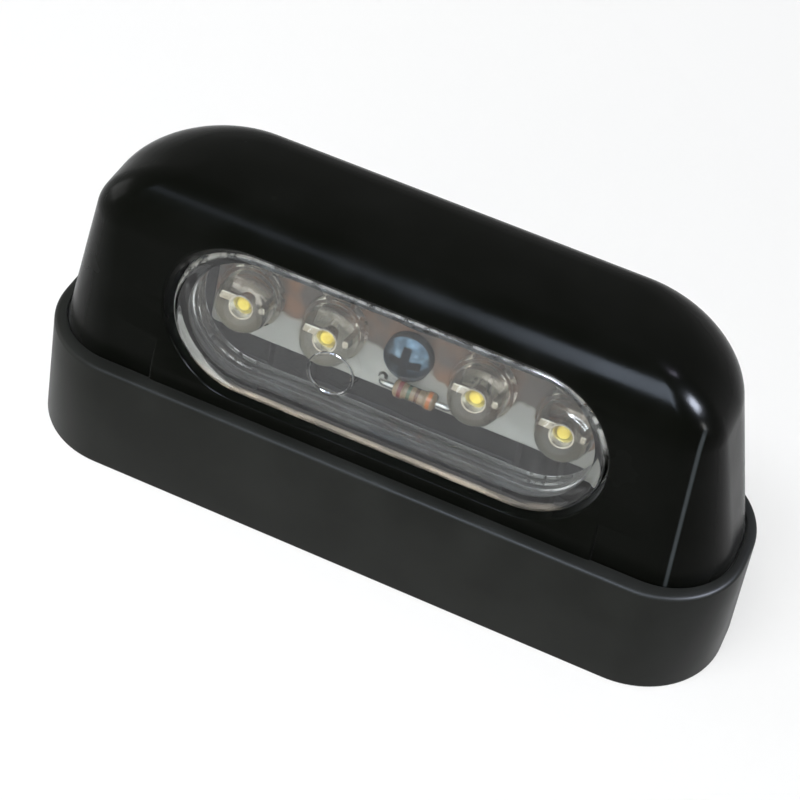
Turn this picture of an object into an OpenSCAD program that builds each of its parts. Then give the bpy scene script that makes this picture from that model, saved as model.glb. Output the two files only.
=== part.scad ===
// Number plate lamp: a moulded base tray, a tapered cover with an oblong clear lens,
// and a small circuit board with four clear round lamps behind the lens.
// Millimetres, +Z up from the mounting face, the lens looks towards -Y.
// The origin is the middle of the base's underside.

/* [Overall] */
// Overall height of the lamp
cover_h = 31; // [29.5:0.1:34]
// Length of the base at its underside
base_l = 65; // [63:0.5:80]

/* [Base] */
// Depth of the base, front to back, at its underside
base_w = 18.4; // [18.2:0.1:24]
// Corner radius of the base outline
base_corner = 8.1; // [5:0.1:9]
// Share of the overall height that the base takes
base_share = 0.3613; // [0.35:0.0001:0.37]
// How far the base wall leans in over its height
base_draft = 0.36; // [0:0.02:0.5]
// Thickness of the base floor
base_floor = 2.4; // [1.6:0.1:3.2]
// Rounding of the base's upper outer edge
base_edge = 0.4; // [0.1:0.05:0.5]
// Gap between the cover's skirt and the base wall
skirt_gap = 0.15; // [0.05:0.05:0.3]

/* [Cover] */
// Ledge of the base past each end of the cover, draft included
end_ledge = 1.5; // [1.4:0.1:2.5]
// Distance from the middle to the cover's front wall
cover_front = 7.15; // [7:0.05:7.4]
// Distance from the middle to the cover's back wall
cover_back = 8.2; // [7.6:0.05:8.4]
// Front corner radius of the cover where it leaves the base
front_corner = 6.2; // [5:0.1:6.5]
// Front corner radius of the cover at its shoulder
front_shoulder = 2.7; // [2:0.1:4]
// Back corner radius of the cover where it leaves the base
back_corner = 7; // [5:0.1:7.4]
// Back corner radius of the cover at its shoulder
back_shoulder = 9.4; // [6:0.1:9.8]
// Wall of the cover
cover_wall = 2; // [1.4:0.1:2.4]
// Wall of the cover's skirt, round the back plate
skirt_wall = 1.2; // [0.8:0.1:1.3]
// How far each end leans in from the base to the top
end_taper = 4.4; // [3:0.05:5]
// How far the front and the back lean in
wall_taper = 0.1; // [0:0.05:0.5]
// Height of the rounding all round the top
top_round = 5; // [4:0.1:6]
// Length of that rounding at each end
end_round = 6.05; // [4:0.05:8]
// Depth of that rounding at the back
back_round = 4.2; // [3:0.1:5]
// Depth of that rounding at the front
front_round = 4; // [3:0.1:4.5]

/* [Lens] */
// Share of the base's length that the lens takes
lens_share = 0.6; // [0.57:0.002:0.608]
// Share of the cover's height above the base that the lens takes
lens_height_share = 0.711; // [0.66:0.001:0.725]
// Distance of the lens face in front of the middle, at its centre
lens_y = 6.2; // [6:0.05:6.4]
// Height of the lens centre above the base, as a share of the cover's height above the base
lens_centre_share = 0.4394; // [0.425:0.0001:0.455]
// Lean of the lens, backwards from upright
lens_tilt = 8; // [6:0.5:9]
// Thickness of the lens
lens_wall = 1.3; // [1:0.1:1.5]
// Depth of the lens, face to back edge
lens_depth = 4.6; // [4.2:0.1:4.8]
// Rounding of the lens's front edge
lens_edge = 0.8; // [0.3:0.1:0.9]
// Width of the flange round the back of the lens
flange_w = 1.2; // [1:0.1:1.3]
// Thickness of that flange
flange_t = 1.2; // [0.8:0.1:1.3]
// Thickness of the seal in front of the flange
seal_t = 0.5; // [0.3:0.1:0.7]
// Gap round the lens in the cover
lens_gap = 0.3; // [0.2:0.05:0.4]
// Distance in front of the lens face at which the window starts to open upwards
hood_start = 0.45; // [0.3:0.05:0.8]
// How much the window opens upwards for each millimetre further forwards
hood_slope = 0.84; // [0.5:0.02:1]
// How far the boss under the lens stands in front of the lens face
boss_lip = 0.35; // [0.2:0.05:0.4]
// How far the boss reaches past each end of the lens
boss_side = 0.6; // [0.5:0.05:0.9]
// How much wider the boss is at each side where it meets the base
boss_flare = 0.4; // [0.1:0.05:0.8]

/* [Circuit board] */
// How far the circuit board reaches past the middle of each outer lamp
board_end = 3.475; // [3.4:0.025:3.9]
// Height of the circuit board
board_b = 8.6; // [8.2:0.1:9]
// Thickness of the circuit board
board_t = 1.6; // [1:0.1:1.8]
// Depth of the board's front behind the lens face
board_depth = 6.9; // [6.8:0.1:7.1]
// Height of the lamp row from the lens axis, along the lens
row_v = -0.9; // [-1.2:0.1:-0.6]
// Place of the inner lamps, as a share of the lens's half length
inner_share = 0.35; // [0.33:0.005:0.37]
// Place of the outer lamps, as a share of the lens's half length
outer_share = 0.75; // [0.735:0.005:0.76]
// Radius of a lamp's dome
dome_r = 2.5; // [2.2:0.1:2.6]
// Radius of a lamp's flange
led_flange_r = 2.9; // [2.7:0.1:3]
// Thickness of a lamp's flange
led_flange_t = 0.9; // [0.6:0.1:1.1]
// Height of the straight part of a lamp
led_straight = 1; // [0.6:0.1:1.2]
// Side of a square lamp lead
lead_w = 0.5; // [0.4:0.05:0.55]
// Distance between a lamp's two leads
lead_pitch = 2.54; // [2.2:0.02:2.8]
// Radius of the cup that holds a lamp's chip
cup_r = 0.8; // [0.65:0.05:0.9]
// Radius of a lamp's round chip
chip_r = 0.38; // [0.3:0.02:0.42]
// Height of the cup's rim above the board
cup_h = 2.4; // [2.2:0.05:2.6]
// Radius of a lead hole in the board
lead_hole_r = 0.45; // [0.42:0.01:0.6]
// Radius of the board screw's head
board_head_r = 2.2; // [1.8:0.1:2.3]
// Radius of the board screw's shank
board_shank_r = 1.1; // [0.9:0.05:1.3]
// Free length of the board screw behind the board
board_screw_l = 3.6; // [2.5:0.1:4]

/* [Back plate and fixings] */
// Thickness of the back plate
plate_t = 2; // [1.6:0.1:2.4]
// Gap between the back plate and the skirt
plate_gap = 0.15; // [0.05:0.05:0.3]
// Thickness of the seal on the back plate
plate_seal_t = 0.8; // [0.5:0.1:1.2]
// Distance of each mounting hole from the end of the base
mount_edge = 7.5; // [7.1:0.1:7.9]
// Radius of the mounting holes
mount_r = 2.1; // [1.6:0.05:2.2]
// Outer radius of a threaded insert
insert_r = 2.9; // [2.6:0.1:3]
// Length of a threaded insert
insert_l = 7; // [4:0.5:9]
// Wall of the pillar round an insert
pillar_wall = 0.9; // [0.8:0.05:1]
// Distance of each plate screw from the middle
plate_screw_x = 12; // [10:0.5:14]
// Distance of the plate screws behind the middle
plate_screw_y = 4.9; // [4.6:0.1:5]
// Radius of a plate screw's shank
plate_shank_r = 1.1; // [0.9:0.05:1.2]
// Radius of a plate screw's head
plate_head_r = 2; // [1.7:0.1:2.1]
// Length of a plate screw under its head
plate_screw_l = 5.5; // [4.5:0.5:6.5]
// Radius of the cable's way through the grommet
cable_r = 2; // [1.4:0.1:2.2]
// Rubber of the grommet round the cable
grommet_wall = 1.3; // [1:0.1:1.6]
// How far the grommet's two flanges reach past its neck
grommet_lip = 1; // [0.6:0.1:1.2]

/* [Small parts on the board] */
// Height of the resistor's and the diode's wires below the lamp row
resistor_drop = 3.1; // [3:0.05:3.3]
// Place of the resistor's middle to the right of the screw
resistor_x = 1.4; // [1:0.1:1.8]
// Radius of the resistor at its caps
resistor_r = 0.8; // [0.6:0.05:0.9]
// Length of the resistor
resistor_l = 4; // [3:0.1:4.4]
// Height of the diode below the lamp row
diode_drop = 2.4; // [2:0.1:2.8]
// Place of the diode's middle to the left of the screw
diode_left = 9.6; // [9.3:0.1:9.9]
// Radius of the diode
diode_r = 1.3; // [1:0.05:1.4]
// Length of the diode
diode_l = 4.4; // [3.6:0.1:4.6]
// Radius of the resistor's and the diode's wires
axial_r = 0.3; // [0.2:0.05:0.35]
// Straight length of those wires before they bend back
axial_free = 1.3; // [0.8:0.1:1.5]
// Height of a solder cone
solder_h = 0.7; // [0.4:0.1:0.9]
// Radius of the solder round a lead hole
solder_rim = 0.3; // [0.1:0.05:0.3]
// Width of a cable tag's square foot
tag_w = 1.8; // [1.4:0.1:1.9]
// Thickness of a cable tag
tag_t = 0.4; // [0.3:0.05:0.5]
// Length of a cable tag behind the board
tag_l = 3; // [2:0.1:3.2]
// Place of the first cable tag to the right of the screw
tag_x = 7.6; // [7.4:0.1:7.8]
// Distance between the two cable tags
tag_pitch = 3.6; // [3.2:0.1:3.8]

/* [Hidden] */
$fn = 64;
// Thickness of the thin slices that a lofted shell is stretched between
slice = 0.01;
// Points along each rounded corner of a lofted outline
corner_steps = 12;
// Spare length of a cut past the face that it opens
over = 1;
// Clearance round a screw's shank in its pilot hole
pilot_gap = 0.05;
plate_top = base_floor + plate_t;
seal_top = plate_top + plate_seal_t;
base_h = base_share * cover_h;
cover_l = base_l - 2 * end_ledge;
mount_x = base_l / 2 - mount_edge;
roof = cover_h - cover_wall;
lens_a = lens_share * base_l / 2;
lens_b = lens_height_share * (cover_h - base_h) / 2;
lens_z = base_h + lens_centre_share * (cover_h - base_h);
lens_s = lens_a - lens_b;
boss_a = lens_a + boss_side;
boss_foot_a = boss_a + boss_flare;
inner_x = inner_share * lens_a;
outer_x = outer_share * lens_a;
board_a = outer_x + board_end;
plate_screw_top = base_floor + plate_t / 2 + plate_screw_l;
seat_w = -lens_depth + flange_t + seal_t;
led_x = [-outer_x, -inner_x, inner_x, outer_x];
led_base_w = -board_depth;
dome_w = led_base_w + led_flange_t + led_straight;
board_back_w = -board_depth - board_t;
pillar_r = insert_r + pillar_wall;
neck_r = cable_r + grommet_wall;
grommet_r = neck_r + grommet_lip;
// The boss face runs beside the lens face, lip higher, down to the lens's lower edge
boss_top = lens_z + lens_b / 3;
boss_break = lens_z - lens_b * cos(lens_tilt);
black_satin = [0.13, 0.135, 0.13];
black_gloss = [0.07, 0.075, 0.07];
clear = [0.9, 0.93, 0.95, 0.35];
zinc = [0.62, 0.7, 0.78];
tinned = [0.78, 0.78, 0.76];

// An outline of half length a, from y0 to y1, corner radius rb at the back and rf in front
function rounded(a, y0, y1, rb, rf, n = corner_steps) = [
    for (q = [0:3], k = [0:n])
        let (t = 90 * q + 90 * k / n,
             r = q < 2 ? rb : rf,
             cx = (q == 0 || q == 3) ? a - r : r - a,
             cy = q < 2 ? y1 - r : y0 + r)
        [cx + r * cos(t), cy + r * sin(t)]];

// How far an elliptical rounding of depth a and height b has drawn in at height z
function drawn_in(z, a, b) =
    z <= cover_h - b ? 0 : a * (1 - sqrt(max(0, 1 - pow((z - cover_h + b) / b, 2))));

// The cover's outline at height z, set in by t. Its ends lean in, its front corners get
// sharper and its back corners rounder on the way up, and the top is rounded all round.
function cover_ring(z, t) =
    let (s = max(0, (z - base_h) / (cover_h - base_h)),
         a = cover_l / 2 - end_taper * s - drawn_in(z, end_round, top_round) - t,
         front = cover_front - wall_taper * s - drawn_in(z, front_round, top_round) - t,
         back = cover_back - wall_taper * s - drawn_in(z, back_round, top_round) - t,
         rf = front_corner + (front_shoulder - front_corner) * s
             - drawn_in(z, front_round, top_round) / 2 - t,
         rb = back_corner + (back_shoulder - back_corner) * s
             - drawn_in(z, back_round, top_round) - t,
         sharp = max(0.3, rf))
    rounded(a, -front, back, max(0.3, min(rb, front + back - sharp - 0.01)), sharp);

// Heights of the cover's outlines, closer together towards the top
cover_levels = [base_h, for (k = [0:3]) base_h + (cover_h - top_round - base_h) * (k + 1) / 5,
    for (k = [0:12]) cover_h - top_round * cos(90 * k / 12)];

// A solid stretched over rings of points that lie one above the other
module loft(rings) {
    n = len(rings[0]);
    last = len(rings) - 1;
    polyhedron(
        points = [for (ring = rings) each ring],
        faces = concat(
            [[for (k = [0:n - 1]) k]],
            [[for (k = [n - 1:-1:0]) last * n + k]],
            [for (j = [0:last - 1], k = [0:n - 1], half = [0, 1])
                let (next = (k + 1) % n, low = j * n, high = low + n)
                half == 0 ? [low + k, high + k, high + next] : [low + k, high + next, low + next]]));
}

function at_height(ring, z) = [for (p = ring) [p[0], p[1], z]];

// The solid that the cover's outside bounds, from height z0 up
module cover_form(z0) {
    loft(concat([at_height(cover_ring(base_h, 0), z0)],
        [for (z = cover_levels) at_height(cover_ring(z, 0), z)]));
}

// The hollow in the cover, its roof one wall below the outside
module cover_hollow() {
    loft(concat([at_height(cover_ring(base_h, cover_wall), seal_top - over)],
        [for (z = cover_levels) at_height(cover_ring(z, cover_wall),
            base_h + (z - base_h) * (roof - base_h) / (cover_h - base_h))]));
}

// Places its children on the lens's axes: z out through the lens, y up along it
module on_lens() {
    translate([0, -lens_y, lens_z]) rotate([90 - lens_tilt, 0, 0]) children();
}

// An oblong solid with round ends, from a half section drawn outwards from its axis
module oblong(s, section) {
    for (x = [-s, s])
        translate([x, 0, 0]) rotate_extrude($fn = 96) polygon(section);
    rotate([90, 0, 90]) linear_extrude(2 * s, center = true) {
        polygon(section);
        mirror([1, 0]) polygon(section);
    }
}

// A plain oblong of half height b from w0 to w1
module oblong_bar(b, w0, w1) {
    oblong(lens_s, [[0, w0], [b, w0], [b, w1], [0, w1]]);
}

// Quarter round from the front face to the side of the lens
function lens_arc(r, n = 6) = [for (k = [0:n])
    [lens_b - r + r * sin(90 * k / n), -r + r * cos(90 * k / n)]];

module lens() color(clear)
    on_lens() difference() {
        union() {
            oblong(lens_s, concat([[0, -lens_depth], [0, 0]], lens_arc(lens_edge),
                [[lens_b, -lens_depth]]));
            oblong_bar(lens_b + flange_w, -lens_depth, -lens_depth + flange_t);
        }
        oblong_bar(lens_b - lens_wall, -lens_depth - over, -lens_wall);
    }

// Bead of sealant between the lens flange and its seat in the cover
module lens_seal() color([0.75, 0.76, 0.75])
    on_lens() difference() {
        oblong_bar(lens_b + flange_w, -lens_depth + flange_t, seat_w);
        oblong_bar(lens_b + lens_gap, -lens_depth, seat_w + over);
    }

// The step in front under the lens, on whose face the lower half of the lens lies
module boss() {
    lean = tan(lens_tilt);
    face = lens_y + boss_lip;
    foot_y = -face - (lens_z - boss_break) * lean;
    intersection() {
        rotate([90, 0, 90]) linear_extrude(2 * boss_foot_a, center = true)
            polygon([[foot_y, base_h], [foot_y, boss_break],
                [-face + (boss_top - lens_z) * lean, boss_top],
                [-cover_front + cover_wall, boss_top], [-cover_front + cover_wall, base_h]]);
        rotate([90, 0, 0]) linear_extrude(cover_front + 2 * over)
            polygon([[-boss_a, boss_top], [boss_a, boss_top],
                [boss_foot_a, base_h], [-boss_foot_a, base_h]]);
    }
}

// The window for the lens, its upper side cut up towards the front, and the flange's seat
module window() {
    reach = cover_front / 3;
    on_lens() {
        oblong_bar(lens_b + lens_gap, -lens_depth - over, cover_front);
        hull() {
            translate([0, 0, hood_start]) oblong_bar(lens_b + lens_gap, 0, slice);
            translate([0, hood_slope * reach, hood_start + reach])
                oblong_bar(lens_b + lens_gap, 0, slice);
        }
        oblong_bar(lens_b + flange_w + lens_gap, -lens_depth - cover_wall, seat_w);
    }
}

module cover() color(black_gloss)
    difference() {
        union() {
            difference() {
                cover_form(base_floor);
                cover_hollow();
            }
            boss();
            intersection() {
                cover_form(seal_top);
                union() {
                    // Frame round the lens, which carries its seat
                    on_lens() oblong_bar(lens_b + flange_w + cover_wall, -lens_depth, cover_front);
                    // Pillars for the mounting screws' inserts
                    for (x = [-mount_x, mount_x])
                        translate([x, 0, plate_top]) cylinder(r = pillar_r, h = cover_h);
                    // Webs that tie those pillars to the frame round the lens
                    for (side = [-1, 1])
                        translate([side * (lens_a + mount_x) / 2,
                            lens_depth - lens_y - skirt_wall, lens_z])
                            cube([mount_x - lens_a, skirt_wall, lens_b / 2], center = true);
                    // Pillars on the back wall for the plate screws
                    for (x = [-plate_screw_x, plate_screw_x])
                        translate([x, plate_screw_y, plate_top])
                            cylinder(r = plate_shank_r + cover_wall / 2, h = base_h - plate_top);
                    // Post for the board screw and two ribs that the board's ends rest on
                    on_lens() {
                        translate([0, row_v, board_back_w - 2 * cover_back])
                            cylinder(r = board_shank_r + cover_wall * 0.75, h = 2 * cover_back);
                        for (x = [skirt_wall / 2 - board_a, board_a - skirt_wall / 2])
                            translate([x, row_v, board_back_w - cover_back])
                                cube([skirt_wall, board_b / 2, 2 * cover_back], center = true);
                    }
                }
            }
            // Feet of the pillars, down to the back plate
            for (x = [-mount_x, mount_x])
                translate([x, 0, plate_top]) cylinder(r = pillar_r, h = plate_seal_t + over);
        }
        // Room for the back plate and its seal inside the skirt
        translate([0, 0, base_floor - over]) linear_extrude(plate_t + over)
            polygon(cover_ring(base_h, skirt_wall));
        translate([0, 0, plate_top - slice]) linear_extrude(plate_seal_t + slice) difference() {
            polygon(cover_ring(base_h, skirt_wall));
            polygon(cover_ring(base_h, cover_wall));
        }
        window();
        // Space in front of the board for the lamps
        on_lens() oblong_bar(lens_b + flange_w + lens_gap, board_back_w, -lens_depth);
        for (x = [-mount_x, mount_x])
            translate([x, 0, plate_top - over]) cylinder(r = insert_r, h = insert_l + over);
        for (x = [-plate_screw_x, plate_screw_x])
            translate([x, plate_screw_y, plate_top - over])
                cylinder(r = plate_shank_r + pilot_gap,
                    h = plate_screw_top + plate_shank_r / 4 - plate_top + over);
        on_lens() translate([0, row_v, board_back_w - board_screw_l])
            cylinder(r = board_shank_r + pilot_gap, h = board_screw_l + over);
    }

module base_seat() color(black_satin) {
    a = base_l / 2;
    b = base_w / 2;
    difference() {
        hull() {
            linear_extrude(slice) polygon(rounded(a, -b, b, base_corner, base_corner));
            for (k = [0:3]) {
                d = base_draft + base_edge * (1 - cos(30 * k));
                translate([0, 0, base_h - base_edge + base_edge * sin(30 * k) - slice])
                    linear_extrude(slice)
                        polygon(rounded(a - d, d - b, b - d, base_corner - d, base_corner - d));
            }
        }
        translate([0, 0, base_floor]) linear_extrude(base_h)
            polygon(cover_ring(base_h, -skirt_gap));
        for (x = [-mount_x, mount_x])
            translate([x, 0, -over]) cylinder(r = mount_r, h = base_floor + 2 * over);
        translate([0, 0, -over]) cylinder(r = neck_r, h = base_floor + 2 * over);
        translate([0, 0, -over]) cylinder(r = grommet_r, h = over + base_floor / 2);
    }
}

module back_plate() color([0.16, 0.165, 0.16])
    difference() {
        translate([0, 0, base_floor]) linear_extrude(plate_t)
            polygon(cover_ring(base_h, skirt_wall + plate_gap));
        for (x = [-mount_x, mount_x])
            translate([x, 0, base_floor - over]) cylinder(r = mount_r, h = plate_t + 2 * over);
        translate([0, 0, base_floor - over]) cylinder(r = neck_r, h = plate_t + 2 * over);
        for (x = [-plate_screw_x, plate_screw_x])
            translate([x, plate_screw_y, base_floor - over]) {
                cylinder(r = plate_shank_r + pilot_gap, h = plate_t + 2 * over);
                cylinder(r = plate_head_r + pilot_gap, h = plate_t / 2 + over);
            }
    }

module back_plate_seal() color([0.3, 0.3, 0.3])
    translate([0, 0, plate_top]) linear_extrude(plate_seal_t) difference() {
        polygon(cover_ring(base_h, skirt_wall + plate_gap));
        polygon(cover_ring(base_h, cover_wall));
    }

module plate_screws() color(zinc)
    for (x = [-plate_screw_x, plate_screw_x])
        translate([x, plate_screw_y, base_floor]) difference() {
            union() {
                cylinder(r = plate_head_r, h = plate_t / 2);
                cylinder(r = plate_shank_r, h = plate_t / 2 + plate_screw_l);
            }
            cross_recess(plate_head_r, plate_t / 4);
        }

// A cross recess of depth d cut up into a screw head of radius r
module cross_recess(r, d) {
    for (turn = [0, 90])
        rotate([0, 0, turn])
            cube([1.1 * r, 0.28 * r, 2 * d], center = true);
}

module threaded_inserts() color([0.78, 0.62, 0.3])
    for (x = [-mount_x, mount_x])
        translate([x, 0, plate_top]) difference() {
            cylinder(r = insert_r, h = insert_l);
            translate([0, 0, -over]) cylinder(r = mount_r, h = insert_l + 2 * over);
        }

module cable_grommet() color([0.1, 0.1, 0.1])
    rotate_extrude() polygon([[cable_r, 0], [grommet_r, 0], [grommet_r, base_floor / 2],
        [neck_r, base_floor / 2], [neck_r, plate_top], [grommet_r, plate_top],
        [neck_r, plate_top + grommet_wall], [cable_r, plate_top + grommet_wall]]);

module board_screw() color(zinc)
    on_lens() translate([0, row_v, -board_depth]) difference() {
        union() {
            // Pan head: a low dome cut from a ball
            intersection() {
                translate([0, 0, -board_head_r * 0.75]) sphere(r = board_head_r * 1.5);
                cylinder(r = board_head_r, h = board_head_r);
            }
            translate([0, 0, -board_t - board_screw_l])
                cylinder(r = board_shank_r, h = board_t + board_screw_l);
        }
        translate([0, 0, board_head_r * 0.75]) cross_recess(board_head_r, board_head_r * 0.45);
    }

// Where the board's leads pass through it, as [x, y] from the lens axis
resistor_v = row_v - resistor_drop;
diode_v = row_v - diode_drop;
diode_x = -diode_left;
function pair(x, y, half) = [[x - half, y], [x + half, y]];
led_holes = [for (x = led_x) each pair(x, row_v, lead_pitch / 2)];
axial_holes = concat(pair(resistor_x, resistor_v, resistor_l / 2 + axial_free),
    pair(diode_x, diode_v, diode_l / 2 + axial_free));

module circuit_board() color([0.86, 0.82, 0.7])
    on_lens() difference() {
        translate([-board_a, row_v - board_b / 2, board_back_w])
            cube([2 * board_a, board_b, board_t]);
        for (p = concat(led_holes, axial_holes))
            translate([p[0], p[1], board_back_w - over])
                cylinder(r = lead_hole_r, h = board_t + 2 * over, $fn = 24);
        translate([0, row_v, board_back_w - over])
            cylinder(r = board_shank_r + 2 * pilot_gap, h = board_t + 2 * over);
    }

// The frame's post is a little lower than the cup, and its cup is a cone with a cone in it
cup_wall = cup_r / 8;
cup_floor = cup_h * 0.8;
post_h = cup_h * 0.9;
chip_t = (cup_h - cup_floor) / 2;

module led_leads(n) color(tinned)
    on_lens() translate([led_x[n], row_v, 0]) {
        difference() {
            union() {
                // The wide lead, its arm, and the cup for the chip at the arm's end
                translate([-lead_pitch / 2 - lead_w / 2, -lead_w / 2, board_back_w])
                    cube([lead_w, lead_w, board_t + cup_floor]);
                translate([-lead_pitch / 2 - lead_w / 2, -lead_w / 2, led_base_w + cup_floor - lead_w / 2])
                    cube([lead_pitch / 2 + lead_w / 2, lead_w, lead_w / 2]);
                translate([0, 0, led_base_w + cup_floor - lead_w])
                    cylinder(r1 = chip_r, r2 = cup_r, h = cup_h - cup_floor + lead_w, $fn = 32);
            }
            translate([0, 0, led_base_w + cup_floor])
                cylinder(r1 = chip_r, r2 = cup_r - cup_wall, h = cup_h - cup_floor + slice, $fn = 32);
        }
        // The narrow lead stands beside it
        translate([lead_pitch / 2 - lead_w / 2, -lead_w / 2, board_back_w])
            cube([lead_w, lead_w, board_t + post_h]);
    }

module led_chip(n) color([0.95, 0.85, 0.25])
    on_lens() translate([led_x[n], row_v, led_base_w + cup_floor])
        cylinder(r = chip_r, h = chip_t, $fn = 32);

module led_body(n) color(clear)
    difference() {
        on_lens() translate([led_x[n], row_v, led_base_w]) union() {
            cylinder(r = led_flange_r, h = led_flange_t);
            cylinder(r = dome_r, h = led_flange_t + led_straight);
            translate([0, 0, led_flange_t + led_straight]) intersection() {
                sphere(r = dome_r);
                cylinder(r = dome_r + over, h = dome_r + over);
            }
        }
        led_leads(n);
        led_chip(n);
    }

// Axial leads: out of both ends of a body at height w, then straight back to the board
module axial_leads(x, y, w, half, foot) {
    for (k = [-1, 1]) translate([x, y, 0]) {
        translate([k * half, 0, w]) rotate([0, 90 * k, 0])
            cylinder(r = axial_r, h = axial_free, $fn = 24);
        translate([k * (half + axial_free), 0, w]) sphere(r = axial_r, $fn = 24);
        translate([k * (half + axial_free), 0, min(w, foot)])
            cylinder(r = axial_r, h = abs(w - foot), $fn = 24);
    }
}

// Half section of a dipped resistor, thicker at its two ends, along its length
module resistor_form() {
    cap = resistor_l * 0.28;
    rotate([0, 90, 0]) translate([0, 0, -resistor_l / 2]) rotate_extrude($fn = 32)
        polygon([[0, 0], [resistor_r * 0.7, 0], [resistor_r, resistor_r * 0.4],
            [resistor_r, cap - resistor_r * 0.3], [resistor_r * 0.82, cap],
            [resistor_r * 0.82, resistor_l - cap], [resistor_r, resistor_l - cap + resistor_r * 0.3],
            [resistor_r, resistor_l - resistor_r * 0.4], [resistor_r * 0.7, resistor_l],
            [0, resistor_l]]);
}

module resistor_body() color([0.85, 0.75, 0.58])
    on_lens() translate([resistor_x, resistor_v, resistor_r - board_depth]) resistor_form();

module resistor_leads() color(tinned)
    on_lens() axial_leads(resistor_x, resistor_v, resistor_r - board_depth, resistor_l / 2,
        board_back_w);

module diode_body() color([0.08, 0.08, 0.08])
    on_lens() translate([diode_x, diode_v, board_back_w - diode_r]) rotate([0, 90, 0])
        cylinder(r = diode_r, h = diode_l, center = true, $fn = 32);

module diode_leads() color(tinned)
    on_lens() axial_leads(diode_x, diode_v, board_back_w - diode_r, diode_l / 2, -board_depth);

// Solder cones on the back of the board under each lamp lead and resistor lead
module solder_joints() color([0.72, 0.72, 0.72])
    on_lens() for (p = concat(led_holes, pair(resistor_x, resistor_v, resistor_l / 2 + axial_free)))
        translate([p[0], p[1], board_back_w - solder_h])
            cylinder(r1 = axial_r, r2 = lead_hole_r + solder_rim, h = solder_h, $fn = 24);

// Two tags on the back of the board that the cable's cores are soldered to
module wire_terminals() color(tinned)
    on_lens() for (x = [tag_x, tag_x + tag_pitch])
        translate([x, row_v - board_b / 2 + tag_w, board_back_w]) {
            translate([-tag_w / 2, -tag_w / 2, -tag_t]) cube([tag_w, tag_w, tag_t]);
            translate([-tag_w / 2, -tag_w / 2, -tag_l]) cube([tag_w, tag_t, tag_l - tag_t]);
        }

base_seat();
cover();
lens();
lens_seal();
circuit_board();
board_screw();
led_body(0);  // led_body_1
led_body(1);  // led_body_2
led_body(2);  // led_body_3
led_body(3);  // led_body_4
led_leads(0);  // led_leads_1
led_leads(1);  // led_leads_2
led_leads(2);  // led_leads_3
led_leads(3);  // led_leads_4
led_chip(0);  // led_chip_1
led_chip(1);  // led_chip_2
led_chip(2);  // led_chip_3
led_chip(3);  // led_chip_4
resistor_body();
resistor_leads();
diode_body();
diode_leads();
solder_joints();
wire_terminals();
back_plate();
back_plate_seal();
plate_screws();
threaded_inserts();
cable_grommet();
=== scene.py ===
import math

import bmesh
import bpy
import numpy as np
from mathutils import Matrix, Vector


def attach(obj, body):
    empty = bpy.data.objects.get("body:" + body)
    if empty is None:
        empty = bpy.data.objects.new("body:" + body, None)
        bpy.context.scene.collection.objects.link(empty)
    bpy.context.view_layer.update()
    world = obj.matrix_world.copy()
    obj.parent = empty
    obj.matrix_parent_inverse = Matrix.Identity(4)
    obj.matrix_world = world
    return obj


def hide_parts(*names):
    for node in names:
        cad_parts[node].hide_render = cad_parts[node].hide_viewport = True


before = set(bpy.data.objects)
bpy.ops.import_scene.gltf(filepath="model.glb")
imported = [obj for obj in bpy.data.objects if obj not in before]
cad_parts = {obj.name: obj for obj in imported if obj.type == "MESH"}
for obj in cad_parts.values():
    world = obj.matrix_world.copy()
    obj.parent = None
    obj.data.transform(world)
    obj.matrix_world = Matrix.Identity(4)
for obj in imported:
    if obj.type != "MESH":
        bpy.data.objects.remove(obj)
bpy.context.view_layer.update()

# Camera. It looks down on the lamp from the lens side, from a little to the right,
# and is rolled so that the long base runs down to the right.
azimuth, elevation, roll = (math.radians(angle) for angle in (16.39, 44.42, 10.47))
camera_distance = 0.19273
look_at = Vector((-0.00042, 0.00078, 0.01186))
towards_camera = Vector((math.sin(azimuth) * math.cos(elevation),
                         -math.cos(azimuth) * math.cos(elevation), math.sin(elevation)))
level_right = Vector((0, 0, 1)).cross(towards_camera).normalized()
level_up = towards_camera.cross(level_right)
camera_right = math.cos(roll) * level_right + math.sin(roll) * level_up
camera_up = math.cos(roll) * level_up - math.sin(roll) * level_right
camera = bpy.data.objects.new("camera", bpy.data.cameras.new("camera"))
camera.data.sensor_width = 36
camera.data.lens = 100.56
camera.data.clip_start = 0.01
camera.matrix_world = Matrix.Translation(look_at + camera_distance * towards_camera) @ Matrix(
    (camera_right, camera_up, towards_camera)).transposed().to_4x4()
bpy.context.collection.objects.link(camera)
bpy.context.scene.camera = camera
bpy.context.scene.view_settings.view_transform = "Standard"


# Floor, backdrop and light. A white sheet lies under the lamp, and soft boxes above it
# give the long sheen on the front shoulder and the bright corner at the right.
def linear(code):
    """Turns an sRGB hex colour into linear red, green, blue and alpha."""
    parts = np.array([int(code[k:k + 2], 16) for k in (1, 3, 5)]) / 255
    low = parts / 12.92
    high = ((parts + 0.055) / 1.055) ** 2.4
    return (*np.where(parts <= 0.04045, low, high), 1)


def add(tree, kind, inputs=None, **settings):
    """Adds a node, sets its properties, and fills its inputs with values or links."""
    made = tree.nodes.new(kind)
    for key, value in settings.items():
        setattr(made, key, value)
    for key, value in (inputs or {}).items():
        if isinstance(value, bpy.types.NodeSocket):
            tree.links.new(value, made.inputs[key])
        else:
            made.inputs[key].default_value = value
    return made


def new_material(name):
    """An empty material, with its node tree and its output node."""
    material = bpy.data.materials.new(name)
    material.use_nodes = True
    material.node_tree.nodes.clear()
    return material, material.node_tree, material.node_tree.nodes.new("ShaderNodeOutputMaterial")


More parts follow.
